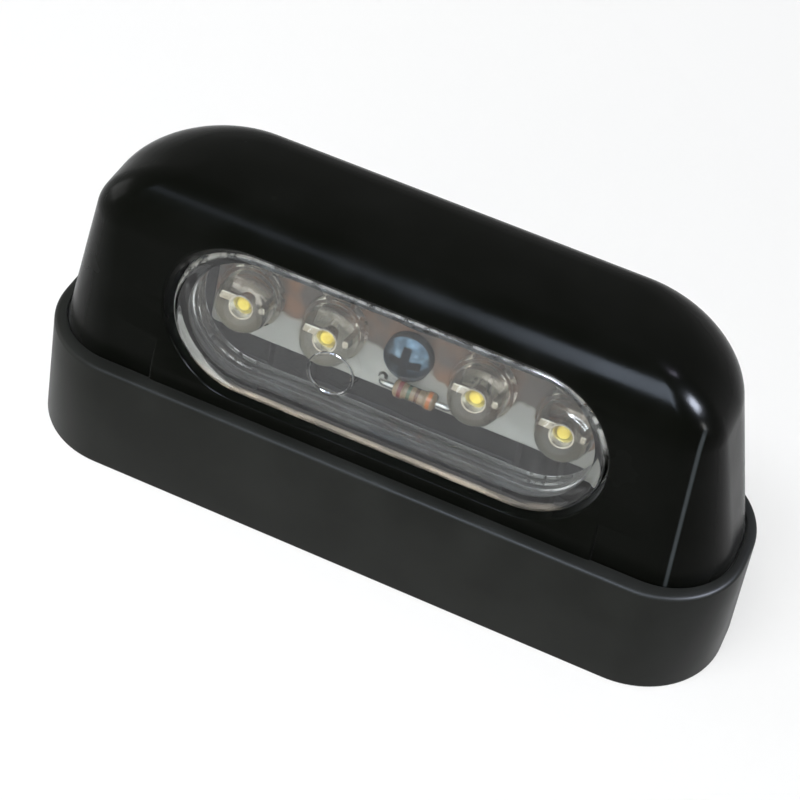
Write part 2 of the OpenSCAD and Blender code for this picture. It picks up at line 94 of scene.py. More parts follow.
def shown_rays(tree):
    """One where the camera, a gloss or a clear piece looks, nought for diffuse light."""
    path = add(tree, "ShaderNodeLightPath")
    seen = add(tree, "ShaderNodeMath", {0: path.outputs["Is Camera Ray"],
                                        1: path.outputs["Is Glossy Ray"]}, operation="MAXIMUM")
    return add(tree, "ShaderNodeMath", {0: seen.outputs[0],
                                        1: path.outputs["Is Transmission Ray"]},
               operation="MAXIMUM").outputs[0]


floor_half, sheet_glow, glow_share, room_light = 1.5, 0.9, 0.75, 0.34
floor_mesh = bpy.data.meshes.new("floor")
floor_mesh.from_pydata([(-floor_half, -floor_half, 0), (floor_half, -floor_half, 0),
                        (floor_half, floor_half, 0), (-floor_half, floor_half, 0)],
                       [], [(0, 1, 2, 3)])
floor = bpy.data.objects.new("floor", floor_mesh)
bpy.context.collection.objects.link(floor)
sheet, tree, output = new_material("white_paper_sheet")
paper = add(tree, "ShaderNodeBsdfDiffuse", {"Color": linear("#ebebeb")})
glow = add(tree, "ShaderNodeEmission", {"Color": (1, 1, 1, 1), "Strength": sheet_glow})
glowing = add(tree, "ShaderNodeMath", {0: shown_rays(tree), 1: glow_share}, operation="MULTIPLY")
lit = add(tree, "ShaderNodeMixShader", {0: glowing.outputs[0], 1: paper.outputs[0],
                                        2: glow.outputs[0]})
tree.links.new(lit.outputs[0], output.inputs["Surface"])
floor_mesh.materials.append(sheet)

world = bpy.data.worlds.new("studio")
world.use_nodes = True
bpy.context.scene.world = world
tree = world.node_tree
tree.nodes.clear()
room = add(tree, "ShaderNodeBackground", {"Color": linear("#f4f7fa"), "Strength": room_light})
white = add(tree, "ShaderNodeBackground", {"Color": (1, 1, 1, 1), "Strength": 1.0})
seen = add(tree, "ShaderNodeMixShader", {0: shown_rays(tree), 1: room.outputs[0],
                                         2: white.outputs[0]})
tree.links.new(seen.outputs[0], add(tree, "ShaderNodeOutputWorld").inputs["Surface"])


def soft_box(name, place, aim, size, power, colour, use="both"):
    """A rectangular lamp at place, turned to shine on aim; sizes in metres, power in watts.

    It lights the pieces, or shows as a sheen in the glossy ones, or does both.
    """
    lamp = bpy.data.lights.new(name, "AREA")
    lamp.shape = "RECTANGLE"
    lamp.size, lamp.size_y = size
    lamp.energy = power
    lamp.color = linear(colour)[:3]
    holder = bpy.data.objects.new(name, lamp)
    holder.location = place
    holder.rotation_euler = (Vector(aim) - Vector(place)).to_track_quat("-Z", "Y").to_euler()
    holder.visible_glossy = use != "light"
    holder.visible_diffuse = use != "sheen"
    holder.visible_transmission = use == "both"
    bpy.context.collection.objects.link(holder)


soft_box("key_soft_box", (-0.06, -0.22, 0.44), (0, 0, 0.02), (0.34, 0.13), 3.4, "#f6f8fa", "light")
soft_box("front_fill", (-0.12, -0.55, 0.22), (0, 0, 0.02), (0.3, 0.2), 1.4, "#fffaf0", "light")
soft_box("left_fill", (-0.45, -0.02, 0.12), (0, 0, 0.01), (0.3, 0.2), 1.2, "#ffffff")
soft_box("left_window", (-0.15, -0.27, 0.42), (0, 0, 0.02), (0.20, 0.10), 0.74, "#d9e8ff", "sheen")
soft_box("right_window", (0.012, -0.30, 0.42), (0, 0, 0.02), (0.14, 0.28), 10.6, "#dbe9ff",
         "sheen")
soft_box("corner_lamp", (0.33, 0.01, 0.36), (0.02, 0, 0.02), (0.13, 0.13), 27.0, "#e4ecff",
         "sheen")
soft_box("low_lamp", (0.44, -0.08, 0.17), (0.02, 0, 0.02), (0.05, 0.05), 1.2, "#ffffff", "sheen")
soft_box("back_lamp", (0.10, 0.21, 0.44), (0, 0, 0.02), (0.035, 0.035), 0.8, "#e6e2ff", "sheen")


# Base. A moulded black tray that the cover stands in, with a narrow ledge all round it.
# It is a satin polypropylene moulding with a fine spark-eroded grain. Its opening follows
# the cover's outline, so the cover's outer sizes stand here too, in millimetres.
base_l, base_w, base_corner = 65.0, 18.4, 8.1
base_h, base_floor, base_draft, base_edge = 11.2, 2.4, 0.36, 0.4
skirt_gap = 0.15
cover_h, cover_l, cover_front, cover_back = 31.0, 62.0, 7.15, 8.2
front_corner, front_shoulder, back_corner, back_shoulder = 6.2, 2.7, 7.0, 9.4
end_taper, wall_taper = 4.4, 0.1
top_round, end_round, back_round, front_round = 5.0, 6.05, 4.2, 4.0
mount_pitch, mount_r = 50.0, 2.1
neck_r, grommet_r = 3.3, 4.3


def rounded(a, y0, y1, back_r, front_r=None, steps=24):
    """Outline of a rectangle, half length a, from y0 to y1, with rounded corners.

    Each corner is a quarter circle about a centre that lies its radius inside both sides.
    """
    quarter = np.repeat(np.arange(4), steps + 1)
    r = np.where(quarter < 2, back_r, back_r if front_r is None else front_r)
    angle = np.radians(90) * (quarter + np.tile(np.linspace(0, 1, steps + 1), 4))
    centre_x = np.where((quarter == 0) | (quarter == 3), a - r, r - a)
    centre_y = np.where(quarter < 2, y1 - r, y0 + r)
    return np.stack([centre_x + r * np.cos(angle), centre_y + r * np.sin(angle)], -1)


def at_height(outline, z):
    """The outline with the height z as a third column."""
    return np.column_stack([outline, np.full(len(outline), z)])


def drawn_in(z, depth):
    """How far the quarter ellipse of that depth round the top has drawn in at height z."""
    t = np.clip((z - cover_h + top_round) / top_round, 0, 1)
    return depth * (1 - np.sqrt(1 - t * t))


def cover_ring(z, inset):
    """Outline of the cover at height z: a rounded rectangle that narrows as it rises.

    On the way up its front corners get sharper and its back corners rounder.
    """
    s = max(0, (z - base_h) / (cover_h - base_h))
    a = cover_l / 2 - end_taper * s - drawn_in(z, end_round) - inset
    front = cover_front - wall_taper * s - drawn_in(z, front_round) - inset
    back = cover_back - wall_taper * s - drawn_in(z, back_round) - inset
    front_r = front_corner + (front_shoulder - front_corner) * s - drawn_in(z, front_round) / 2
    back_r = back_corner + (back_shoulder - back_corner) * s - drawn_in(z, back_round)
    front_r = max(0.3, front_r - inset)
    back_r = max(0.3, min(back_r - inset, front + back - front_r - 0.01))
    return rounded(a, -front, back, back_r, front_r)


def skin(name, grid, ends="closed", sharp=32):
    """Mesh over a grid of rows of points in millimetres, each row a closed ring.

    Point j of row i is joined to point j + 1 and to row i + 1. The first and last rows
    are closed with a flat face, or joined to each other where ends is "joined", or left
    where ends is "open", because each has run together in one point or line.
    """
    rows, columns = grid.shape[:2]
    index = np.arange(rows * columns).reshape(rows, columns)
    if ends == "joined":
        index = np.vstack([index, index[:1]])
    low, high = index[:-1], index[1:]
    faces = np.stack([low, np.roll(low, -1, 1), np.roll(high, -1, 1), high],
                     -1).reshape(-1, 4).tolist()
    if ends == "closed":
        faces += [index[0, ::-1].tolist(), index[-1].tolist()]
    mesh = bpy.data.meshes.new(name)
    mesh.from_pydata((grid.reshape(-1, 3) * 0.001).tolist(), [], faces)
    piece = bpy.data.objects.new(name, mesh)
    bpy.context.collection.objects.link(piece)
    smooth(piece, sharp)
    return piece


def smooth(piece, sharp):
    """Closes doubled points, turns all faces outwards, and keeps edges over sharp degrees."""
    work = bmesh.new()
    work.from_mesh(piece.data)
    bmesh.ops.remove_doubles(work, verts=work.verts, dist=1e-7)
    bmesh.ops.dissolve_degenerate(work, edges=work.edges, dist=1e-8)
    bmesh.ops.recalc_face_normals(work, faces=work.faces)
    work.to_mesh(piece.data)
    work.free()
    piece.data.shade_smooth()
    piece.data.set_sharp_from_angle(angle=math.radians(sharp))


def shaped(piece, joined=(), kept=(), cut=(), sharp=32):
    """Joins other closed pieces to a closed piece, keeps what lies inside kept, and cuts."""
    for other, operation in ([(o, "UNION") for o in joined] + [(o, "INTERSECT") for o in kept]
                             + [(o, "DIFFERENCE") for o in cut]):
        step = piece.modifiers.new(operation.lower(), "BOOLEAN")
        step.object, step.operation, step.solver = other, operation, "EXACT"
    view = bpy.context.evaluated_depsgraph_get()
    result = bpy.data.meshes.new_from_object(piece.evaluated_get(view))
    piece.modifiers.clear()
    piece.data = result
    for other in (*joined, *kept, *cut):
        bpy.data.objects.remove(other)
    smooth(piece, sharp)
    return piece


def put(piece, material, node):
    """Finishes a piece: its material, its body, and the node it replaces."""
    piece.data.materials.clear()
    piece.data.materials.append(material)
    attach(piece, "root")
    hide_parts(node)


def rod(name, centre, r, z0, z1, steps=48):
    """A plain upright round bar: centre + r cos, centre + r sin, from height z0 to z1."""
    turn = np.linspace(0, 2 * np.pi, steps, endpoint=False)
    circle = np.stack([centre[0] + r * np.cos(turn), centre[1] + r * np.sin(turn)], -1)
    return skin(name, np.stack([at_height(circle, z0), at_height(circle, z1)]))


def base_rows():
    """Rows of the tray: up the outside, over the rounded rim and ledge, down the inside."""
    a, b, foot, lip = base_l / 2, base_w / 2, 0.3, 0.12
    rows = [at_height(rounded(a - foot, foot - b, b - foot, base_corner - foot), 0)]
    for turn in np.radians([30, 60, 90]):
        d = foot * (1 - math.sin(turn))
        rows.append(at_height(rounded(a - d, d - b, b - d, base_corner - d),
                              foot * (1 - math.cos(turn))))
    for turn in np.radians(np.linspace(0, 90, 7)):
        d = base_draft + base_edge * (1 - math.cos(turn))
        rows.append(at_height(rounded(a - d, d - b, b - d, base_corner - d),
                              base_h - base_edge * (1 - math.sin(turn))))
    for inset, drop in ((-lip, 0), (-lip * 0.3, lip * 0.3), (0, lip)):
        rows.append(at_height(cover_ring(base_h, inset - skirt_gap), base_h - drop))
    rows.append(at_height(cover_ring(base_h, -skirt_gap), base_floor))
    return np.array(rows)


def moulding(name, colour, wear_and_sheen_gaps, rough, shine, grain_mm, grain_depth, sweep_mm, sweep_depth):
    """Black thermoplastic from a mould: a fine even grain over a faint slow waviness.

    The grain breaks up the highlights, and slow cloudy changes in roughness and in
    colour, from colour to worn, are where the surface has been handled.
    """
    cloud_mm = 6.25
    material, tree, output = new_material(name)
    place = add(tree, "ShaderNodeTexCoord").outputs["Object"]
    clouds = add(tree, "ShaderNodeTexNoise", {"Vector": place, "Scale": 1000 / cloud_mm,
                                              "Detail": 3.0})
    wear_and_painted_line = add(tree, "ShaderNodeMapRange", {"Value": clouds.outputs[0], 1: 0.3, 2: 0.75,
                                              3: rough - 0.05, 4: rough + 0.07})
    slow = add(tree, "ShaderNodeTexNoise", {"Vector": place, "Scale": 1000 / sweep_mm,
                                            "Detail": 1.0})
    waves = add(tree, "ShaderNodeBump", {"Height": slow.outputs[0], "Strength": 1.0,
                                         "Distance": sweep_depth})
    fine = add(tree, "ShaderNodeTexNoise", {"Vector": place, "Scale": 1000 / grain_mm,
                                            "Detail": 2.0})
    grain = add(tree, "ShaderNodeBump", {"Height": fine.outputs[0], "Strength": 1.0,
                                         "Distance": grain_depth,
                                         "Normal": waves.outputs[0]})
    faded = add(tree, "ShaderNodeMapRange", {"Value": clouds.outputs[0], 1: 0.4, 2: 0.7})
    tint = add(tree, "ShaderNodeMix", {0: faded.outputs[0], 6: linear(colour),
                                       7: linear(wear_and_sheen_gaps)}, data_type="RGBA")
    plastic = add(tree, "ShaderNodeBsdfPrincipled", {
        "Base Color": tint.outputs[2], "Roughness": wear_and_painted_line.outputs[0],
        "Specular IOR Level": shine, "IOR": 1.5, "Normal": grain.outputs[0],
        "Sheen Weight": 0.05, "Sheen Roughness": 0.35})
    tree.links.new(plastic.outputs[0], output.inputs["Surface"])
    return material


# Moulded polypropylene: a soft, even, slightly warm black with no clear reflections.
satin_black = moulding("satin_black_polypropylene", "#171816", "#1d1e1c", 0.44, 0.05,
                       0.16, 2.5e-6, 3.0, 6e-6)
base = skin("base", base_rows())
base = shaped(base, cut=(
    rod("left_hole", (-mount_pitch / 2, 0), mount_r, -1, base_floor + 1),
    rod("right_hole", (mount_pitch / 2, 0), mount_r, -1, base_floor + 1),
    rod("cable_hole", (0, 0), neck_r, -1, base_floor + 1),
    rod("grommet_pocket", (0, 0), grommet_r, -1, base_floor / 2)))
put(base, satin_black, "base_seat")

# Cover. A glossy black ABS moulding with wide round shoulders, a window for the lens and
# a shallow boss below it. It is cut to fit what it holds, so the sizes of the lens, the
# board and the plate stand here too; the boss's face runs down to the ledge of the base.
lens_a, lens_b, lens_y, lens_z = 19.5, 7.04, 6.2, 19.9
lens_tilt = math.radians(8)
lens_wall, lens_depth, lens_edge = 1.3, 4.6, 0.8
flange_w, flange_t, seal_t, lens_gap = 1.2, 1.2, 0.5, 0.3
hood_start, hood_slope = 0.45, 0.84
boss_lip, boss_a, boss_foot_a = 0.35, 20.1, 20.5
cover_wall, skirt_wall = 2.0, 1.2
board_a, board_b, row_v = 18.1, 8.6, -0.9
board_depth, board_t, board_screw_r, board_screw_l = 6.9, 1.6, 1.1, 3.6
plate_top, seal_top, plate_screw_top = 4.4, 5.2, 8.9
plate_screw_x, plate_screw_y, plate_screw_r = 12.0, 4.9, 1.1
pillar_r, insert_r, insert_l = 3.8, 2.9, 7.0
lens_s = lens_a - lens_b


def on_lens(local):
    """Points from the lens's axes: x along it, v up along its face, w out of its face."""
    x, v, w = np.moveaxis(np.asarray(local, float), -1, 0)
    sin_t, cos_t = math.sin(lens_tilt), math.cos(lens_tilt)
    return np.stack([x, -lens_y + v * sin_t - w * cos_t, lens_z + v * cos_t + w * sin_t], -1)


def front_distance(z):
    """Distance of the cover's front wall from the middle at each height."""
    s = np.clip((z - base_h) / (cover_h - base_h), 0, 1)
    return cover_front - wall_taper * s - drawn_in(z, front_round)


def round_ends(steps):
    """Angles round an oblong, and which end's centre, right or left, each belongs to."""
    half = np.linspace(-90, 90, steps)
    return np.radians(np.concatenate([half, half + 180])), np.repeat([1.0, -1.0], steps)


def oblong(name, profile, steps=48, ends="closed"):
    """Carries a profile round an oblong: x = end centre + rho cos, v = rho sin, w = w.

    profile is a list of (rho, w), with rho measured out from the line between the two
    end centres; where rho is nought the two sides meet on that line.
    """
    turn, side = round_ends(steps)
    rho, w = np.asarray(profile, float).T[:, :, None]
    x = side * lens_s + rho * np.cos(turn)
    v = rho * np.sin(turn)
    return skin(name, on_lens(np.stack([x, v, w + 0 * x], -1)), ends)


def peg(name, x, v, r, w0, w1, steps=24):
    """A round bar along w on the lens's axes: x + r cos, v + r sin, from w0 to w1."""
    turn = np.linspace(0, 2 * np.pi, steps, endpoint=False)
    ring = np.stack([x + r * np.cos(turn), v + r * np.sin(turn), 0 * turn], -1)
    return skin(name, on_lens(np.stack([ring + (0, 0, w0), ring + (0, 0, w1)])))


def bar(name, x, v, w, size, edge=0.06):
    """A small bar with broken edges; x, v, w is its lowest corner."""
    a, b, t = size
    rows = []
    for inset, up in ((edge, 0), (0, edge), (0, t - edge), (edge, t)):
        outline = rounded(a / 2 - inset, inset - b / 2, b / 2 - inset, 0.1, steps=3)
        rows.append(np.column_stack([outline[:, 0] + x + a / 2, outline[:, 1] + v + b / 2,
                                     np.full(len(outline), w + up)]))
    return skin(name, on_lens(np.array(rows)))


def cover_rows(inset, foot, top, levels=36):
    """Rings of the cover from the foot to the top, closer together over the shoulder."""
    curve = cover_h - top_round * np.cos(np.radians(np.linspace(0, 90, levels)))
    heights = np.concatenate([np.linspace(base_h, curve[0], 12)[:-1], curve])
    squeeze = (top - base_h) / (cover_h - base_h)
    rows = [at_height(cover_ring(base_h, inset), foot)]
    rows += [at_height(cover_ring(z, inset), base_h + (z - base_h) * squeeze) for z in heights]
    return np.array(rows)


def boss_rows(corner=0.35, bend=0.5):
    """Rings of the boss: upright at its foot, then leaning back beside the lens.

    The two front faces meet in a smooth bend, and the front corners are rounded.
    """
    break_z = lens_z - lens_b * math.cos(lens_tilt)
    top_z = lens_z + lens_b / 3
    lean = math.tan(lens_tilt)
    rows = []
    for z in np.concatenate([np.linspace(base_h, break_z - 1, 3),
                             np.linspace(break_z - 0.8, break_z + 0.8, 13),
                             np.linspace(break_z + 1.2, top_z, 12)]):
        past = z - break_z
        risen = (past + math.hypot(past, bend)) / 2 * lean
        face = lens_y + boss_lip + (lens_z - break_z) * lean - risen
        half = boss_foot_a + (boss_a - boss_foot_a) * (z - base_h) / (top_z - base_h)
        rows.append(at_height(rounded(half, -face, cover_wall - cover_front + 2 * corner,
                                      corner, steps=8), z))
    return np.array(rows)


def window_rows(lip=0.22, steps=64):
    """Rings of the window: straight beside the lens, opening upwards at its upper side.

    Each point's mouth lies where its line along w leaves the cover or the boss, and the
    last rings flare outwards there on a quarter circle, which rounds the rim.
    """
    turn, side = round_ends(steps)
    rho = lens_b + lens_gap
    x, v = side * lens_s + rho * np.cos(turn), rho * np.sin(turn)
    upper = (np.sin(turn) > 0).astype(float)
    depth = np.linspace(-2, 3.5, 1101)[:, None]  # steps of 0.005 mm along w
    climb = hood_slope * np.clip(depth - hood_start, 0, 9) * upper
    world = on_lens(np.stack([x + 0 * climb, v + climb, depth + 0 * climb], -1))
    in_cover = -world[..., 1] < front_distance(world[..., 2])
    in_boss = (depth < boss_lip) & (world[..., 2] < lens_z + lens_b / 3)
    mouth = np.where(in_cover | in_boss, depth, -9).max(0)
    mouth = (mouth + np.roll(mouth, 1) + np.roll(mouth, -1)) / 3
    bend = np.maximum(np.where(upper > 0, hood_start, 0), -lens_edge)
    bend = np.minimum(bend, mouth - 2 * lip)
    curl = np.radians([0, 20, 40, 60, 80, 90])
    rows = []
    for w, out in ([(-lens_depth - 1, 0), (-lens_edge, 0), (bend, 0)]
                   + [(mouth - lip + lip * math.sin(t), lip * (1 - math.cos(t))) for t in curl]
                   + [(mouth + 3, 2.5 * lip)]):
        w = w + 0 * x
        rise = hood_slope * np.clip(w - hood_start, 0, 9) * upper
        rows.append(np.stack([x + out * np.cos(turn), v + out * np.sin(turn) + rise, w], -1))
    return on_lens(np.array(rows))


# Moulded ABS from a polished mould: a deep cool black with clear, narrow reflections. On
# its right front corner a thin lighter line is a painted highlight, drawn in the material
# where x plus line_lean times z comes to line_x.
line_x, line_lean, line_half, line_fade = 27.42, 0.05, 0.06, 0.2
line_front = (-5.4, -6.0)
glossy_black = moulding("glossy_black_abs", "#050604", "#080907", 0.22, 0.02,
                        0.25, 3.2e-6, 2.2, 4e-6)
tree = glossy_black.node_tree
place = add(tree, "ShaderNodeTexCoord").outputs["Object"]
across, depth, height = add(tree, "ShaderNodeSeparateXYZ", {0: place}).outputs
along_corner = add(tree, "ShaderNodeMath", {0: height, 1: line_lean, 2: across},
                   operation="MULTIPLY_ADD")
beside = add(tree, "ShaderNodeMath", {0: along_corner.outputs[0], 1: line_x * 1e-3},
             operation="SUBTRACT")
beside = add(tree, "ShaderNodeMath", {0: beside.outputs[0]}, operation="ABSOLUTE")
painted_line_band = add(tree, "ShaderNodeMapRange", {"Value": beside.outputs[0], 1: line_half * 1e-3,
                                         2: line_fade * 1e-3, 3: 1.0, 4: 0.0})
in_front = add(tree, "ShaderNodeMapRange", {"Value": depth, 1: line_front[0] * 1e-3,
                                            2: line_front[1] * 1e-3})
wear_and_painted_line = add(tree, "ShaderNodeMath", {0: painted_line_band.outputs[0], 1: in_front.outputs[0]},
             operation="MULTIPLY")
body = tree.nodes["Principled BSDF"]
# Painted highlight: a thin grey line on the right front corner, painted into the colour.
tint = add(tree, "ShaderNodeMix", {0: wear_and_painted_line.outputs[0],
                                   6: body.inputs["Base Color"].links[0].from_socket,
                                   7: linear("#34383a")}, data_type="RGBA")
tree.links.new(tint.outputs[2], body.inputs["Base Color"])
seat_w = -lens_depth + flange_t + seal_t
flange_room = lens_b + flange_w + lens_gap
boss = skin("boss", boss_rows())
shell = skin("cover", cover_rows(0, base_floor, cover_h))
skirt_room = np.array([at_height(cover_ring(base_h, skirt_wall), z)
                       for z in (base_floor - 1, seal_top)])
shell = shaped(shell, cut=(skin("hollow", cover_rows(cover_wall, base_floor - 1,
                                                     cover_h - cover_wall)),
                           skin("skirt_room", skirt_room)))
# The inside: a frame round the lens, pillars for the threaded inserts with a web to the
# frame, ribs and a post for the board. All of it is kept within the cover's wall.
frame_r, frame_front = lens_b + flange_w + cover_wall, -0.5
behind_board, bore_play, through = -board_depth - board_t, 0.05, 1.0
rest_w, rest_l = behind_board - 5, 6.5
inside = oblong("lens_frame", [(0, -lens_depth), (frame_r, -lens_depth),
                               (frame_r, frame_front), (0, frame_front)])
core = skin("core", cover_rows(cover_wall / 2, seal_top, cover_h - cover_wall / 2))
inside = shaped(inside, kept=(core,), joined=[
    rod("pillar", (k * mount_pitch / 2, 0), pillar_r, plate_top, cover_h) for k in (-1, 1)] + [
    bar("web", min(k * lens_a, k * mount_pitch / 2), -lens_b / 4, skirt_wall / 2 - lens_depth,
        (mount_pitch / 2 - lens_a, lens_b / 2, skirt_wall)) for k in (-1, 1)] + [
    bar("rib", k * board_a - (k > 0) * skirt_wall, row_v - board_b / 4, rest_w,
        (skirt_wall, board_b / 2, rest_l)) for k in (-1, 1)] + [
    peg("screw_post", 0, row_v, board_screw_r + 0.75 * cover_wall, rest_w, rest_w + rest_l)])
foot_r = plate_screw_r + cover_wall / 2 + bore_play
feet = [rod("foot", (k * mount_pitch / 2, 0), pillar_r, plate_top, seal_top + through)
        for k in (-1, 1)]
feet += [rod("boss_foot", (k * plate_screw_x, plate_screw_y), foot_r, plate_top, base_h)
         for k in (-1, 1)]
bores = [rod("insert_bore", (k * mount_pitch / 2, 0), insert_r, plate_top - through,
             plate_top + insert_l) for k in (-1, 1)]
bores += [rod("screw_bore", (k * plate_screw_x, plate_screw_y), plate_screw_r + bore_play,
              plate_top - through, plate_screw_top + 0.3) for k in (-1, 1)]
bores += [peg("board_bore", 0, row_v, board_screw_r + bore_play,
              behind_board - board_screw_l, -4)]
flange_cut = oblong("flange_cut", [(0, behind_board), (flange_room, behind_board),
                                   (flange_room, seat_w), (0, seat_w)])
cover = shaped(shell, joined=(inside, boss, *feet),
               cut=(*bores, flange_cut, skin("window", window_rows())))
put(cover, glossy_black, "cover")


# Lens. One clear acrylic moulding: a flat face with a rounded edge, a wall behind it and
# a flange that is bedded in sealant in the cover. A plain raised ring is left by the gate.
def arc(centre, r, start, stop, steps):
    """Points (rho, w) on a circle about centre, from one angle to another in degrees."""
    turn = np.radians(np.linspace(start, stop, steps))
    return list(zip(centre[0] + r * np.cos(turn), centre[1] + r * np.sin(turn)))


def turned(name, x, v, profile, steps=64, ends="closed", sharp=32):
    """Turns a profile of (radius, w) about a line along w: x + r cos, v + r sin, w."""
    turn = np.linspace(0, 2 * np.pi, steps, endpoint=False)
    r, w = np.asarray(profile, float).T[:, :, None]
    return skin(name, on_lens(np.stack([x + r * np.cos(turn), v + r * np.sin(turn),
                                        w + 0 * (r * turn)], -1)), ends, sharp)


def clear_moulding(name, colour, passed, ior, rough, wave_mm, wave_depth):
    """Clear plastic with faint sink; each face lets the light that is passed on through."""
    material, tree, output = new_material(name)
    place = add(tree, "ShaderNodeTexCoord").outputs["Object"]
    slow = add(tree, "ShaderNodeTexNoise", {"Vector": place, "Scale": 1000 / wave_mm,
                                            "Detail": 1.0})
    sink = add(tree, "ShaderNodeBump", {"Height": slow.outputs[0], "Strength": 1.0,
                                        "Distance": wave_depth})
    body = add(tree, "ShaderNodeBsdfPrincipled", {
        "Base Color": linear(colour), "Transmission Weight": 1.0, "IOR": ior,
        "Roughness": rough, "Normal": sink.outputs[0]})
    open_way = add(tree, "ShaderNodeBsdfTransparent", {"Color": linear(passed)})
    path = add(tree, "ShaderNodeLightPath")
    mixed = add(tree, "ShaderNodeMixShader", {0: path.outputs["Is Shadow Ray"],
                                              1: body.outputs[0], 2: open_way.outputs[0]})
    tree.links.new(mixed.outputs[0], output.inputs["Surface"])
    return material


# Moulded acrylic: clear and sharp, with a faint sink in what it mirrors. A light grey band
# along its upper edge, broken up by noise, is a painted highlight, and beige streaks along
# its lower front edge are a painted reflection. rho is the distance from the line between
# the two end centres; the masks' limits are in millimetres.
top_highlight_rho, top_highlight_up, sheen_gap_mm = (6.50, 6.72), (0.5, 4.0), 1 / 1.1
low_reflection_rho, low_reflection_up, low_reflection_y, streak_mm = (5.8, 6.1), (-4.6, -6.0), (-6.3, -6.6), 1 / 0.9
streak_stretch = (0.22, 1.0, 1.0)
acrylic = clear_moulding("clear_moulded_acrylic", "#f8fafa", "#b8bab8", 1.49, 0.0, 4.0, 3e-6)
inner, outer, soft = lens_b - lens_wall, lens_b + flange_w, 0.06
lens = oblong("lens", [(0, -lens_wall), (inner, -lens_wall), (inner, -lens_depth),
                       (outer - soft, -lens_depth)]
              + arc((outer - soft, -lens_depth + soft), soft, -90, 0, 4)
              + arc((outer - soft, -lens_depth + flange_t - soft), soft, 0, 90, 4)
              + arc((lens_b + soft, -lens_depth + flange_t + soft), soft, 270, 180, 4)
              + arc((lens_b - lens_edge, -lens_edge), lens_edge, 0, 90, 12)
              + [(0, 0)], steps=64, ends="open")
gate_x, gate_v, gate_in, gate_out, gate_h, gate_edge = -4.6, -1.0, 1.8, 2.12, 0.17, 0.09
gate_ring = turned("gate_ring", gate_x, gate_v,
                   [(gate_in, -0.1), (gate_in, gate_h - gate_edge),
                    (gate_in + gate_edge, gate_h), (gate_out - gate_edge, gate_h),
                    (gate_out, gate_h - gate_edge), (gate_out, -0.1)], ends="joined")
lens = shaped(lens, joined=(gate_ring,))
tree = acrylic.node_tree
place = add(tree, "ShaderNodeTexCoord").outputs["Object"]
across, depth, height = add(tree, "ShaderNodeSeparateXYZ", {0: place}).outputs
aside = add(tree, "ShaderNodeMath", {0: across}, operation="ABSOLUTE")
aside = add(tree, "ShaderNodeMath", {0: aside.outputs[0], 1: lens_s * 1e-3},
            operation="SUBTRACT")
aside = add(tree, "ShaderNodeMath", {0: aside.outputs[0], 1: 0.0}, operation="MAXIMUM")
up = add(tree, "ShaderNodeMath", {0: height, 1: lens_z * 1e-3}, operation="SUBTRACT")
rho = add(tree, "ShaderNodeVectorMath", {0: add(tree, "ShaderNodeCombineXYZ", {
    0: aside.outputs[0], 1: up.outputs[0]}).outputs[0]}, operation="LENGTH")
rim = add(tree, "ShaderNodeMapRange", {"Value": rho.outputs["Value"],
                                       1: top_highlight_rho[0] * 1e-3, 2: top_highlight_rho[1] * 1e-3})
above = add(tree, "ShaderNodeMapRange", {"Value": up.outputs[0], 1: top_highlight_up[0] * 1e-3,
                                         2: top_highlight_up[1] * 1e-3})
sheen_gap_noise = add(tree, "ShaderNodeTexNoise", {"Vector": place, "Scale": 1000 / sheen_gap_mm,
                                         "Detail": 3.0})
wear_and_sheen_gaps = add(tree, "ShaderNodeMapRange", {"Value": sheen_gap_noise.outputs[0], 1: 0.36, 2: 0.58,
                                        3: 0.15, 4: 0.85})
# Painted highlight: a light grey opaque layer along the lens's upper edge, broken up by noise.
painted_top_highlight = add(tree, "ShaderNodeBsdfPrincipled", {"Base Color": linear("#d9dbd8"), "Roughness": 0.35})
low_rim = add(tree, "ShaderNodeMapRange", {"Value": rho.outputs["Value"],
                                           1: low_reflection_rho[0] * 1e-3, 2: low_reflection_rho[1] * 1e-3})
below = add(tree, "ShaderNodeMapRange", {"Value": up.outputs[0], 1: low_reflection_up[0] * 1e-3,
                                         2: low_reflection_up[1] * 1e-3})
near_face = add(tree, "ShaderNodeMapRange", {"Value": depth, 1: low_reflection_y[0] * 1e-3,
                                             2: low_reflection_y[1] * 1e-3})
stretched = add(tree, "ShaderNodeVectorMath", {0: place, 1: streak_stretch},
                operation="MULTIPLY")
streaks = add(tree, "ShaderNodeTexNoise", {"Vector": stretched.outputs[0],
                                           "Scale": 1000 / streak_mm, "Detail": 3.0})
streak_share = add(tree, "ShaderNodeMapRange", {"Value": streaks.outputs[0], 1: 0.32, 2: 0.62,
                                           3: 0.04, 4: 0.42})
# Painted reflection: a beige opaque layer in streaks along the lens's lower front edge.
painted_low_reflection = add(tree, "ShaderNodeBsdfPrincipled", {"Base Color": linear("#c9bdaa"), "Roughness": 0.3})
surface = tree.nodes["Material Output"].inputs["Surface"]
shown = surface.links[0].from_socket
for painted_layer, (mask, *others) in ((painted_top_highlight, (rim, above, wear_and_sheen_gaps)),
                                (painted_low_reflection, (low_rim, below, near_face, streak_share))):
    for other in others:
        mask = add(tree, "ShaderNodeMath", {0: mask.outputs[0], 1: other.outputs[0]},
                   operation="MULTIPLY")
    shown = add(tree, "ShaderNodeMixShader", {0: mask.outputs[0], 1: shown,
                                              2: painted_layer.outputs[0]}).outputs[0]
tree.links.new(shown, surface)
put(lens, acrylic, "lens")


